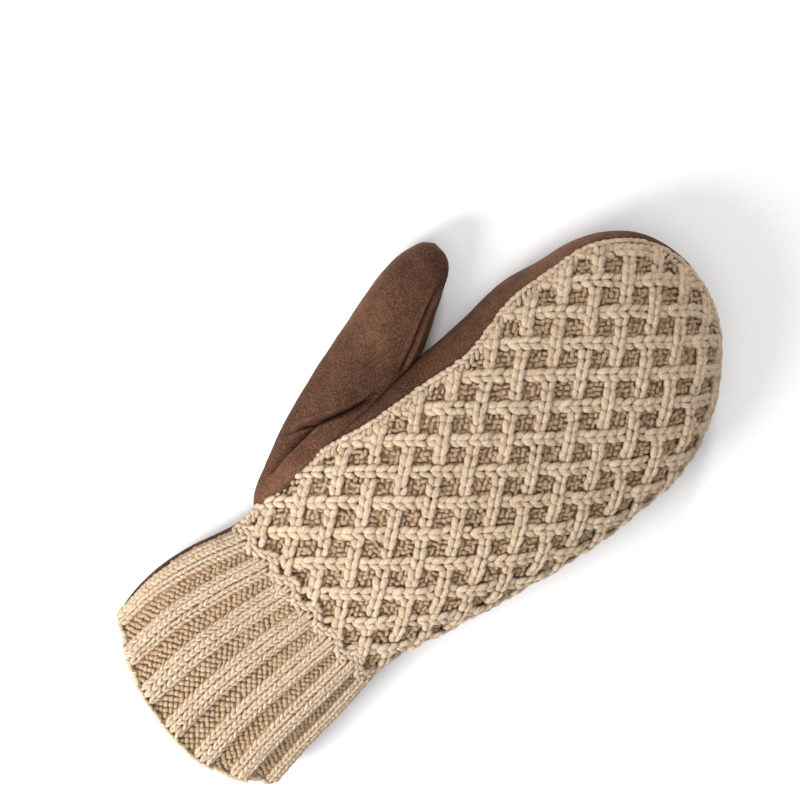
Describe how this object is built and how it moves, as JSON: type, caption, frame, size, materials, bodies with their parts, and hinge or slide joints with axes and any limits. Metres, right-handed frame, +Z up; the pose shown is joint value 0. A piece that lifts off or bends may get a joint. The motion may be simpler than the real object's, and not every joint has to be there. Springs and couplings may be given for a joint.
{
  "type": "leather mitten",
  "caption": "Right-hand mitten with a leather palm, set-in thumb and side strips, a lattice-knit back and a flared ribbed cuff, lying on its palm.",
  "frame": {"origin": "middle of the footprint, on the surface that the palm rests on", "axes": "+Z up out of the back of the hand, +Y from the cuff to the fingertips, thumb on the -X side"},
  "size_m": [0.14, 0.2746, 0.043],
  "materials": {
    "leather": "brushed brown nubuck, mottled, satin matte",
    "wool_knit": "chunky beige yarn, raised lattice and ribs, matte"
  },
  "bodies": {
    "root": {"palm_panel": "leather", "side_strip_thumb": "leather", "side_strip_outer": "leather", "thumb": "leather", "knit_back": "wool_knit", "knit_cuff": "wool_knit"}
  },
  "joints": []
}
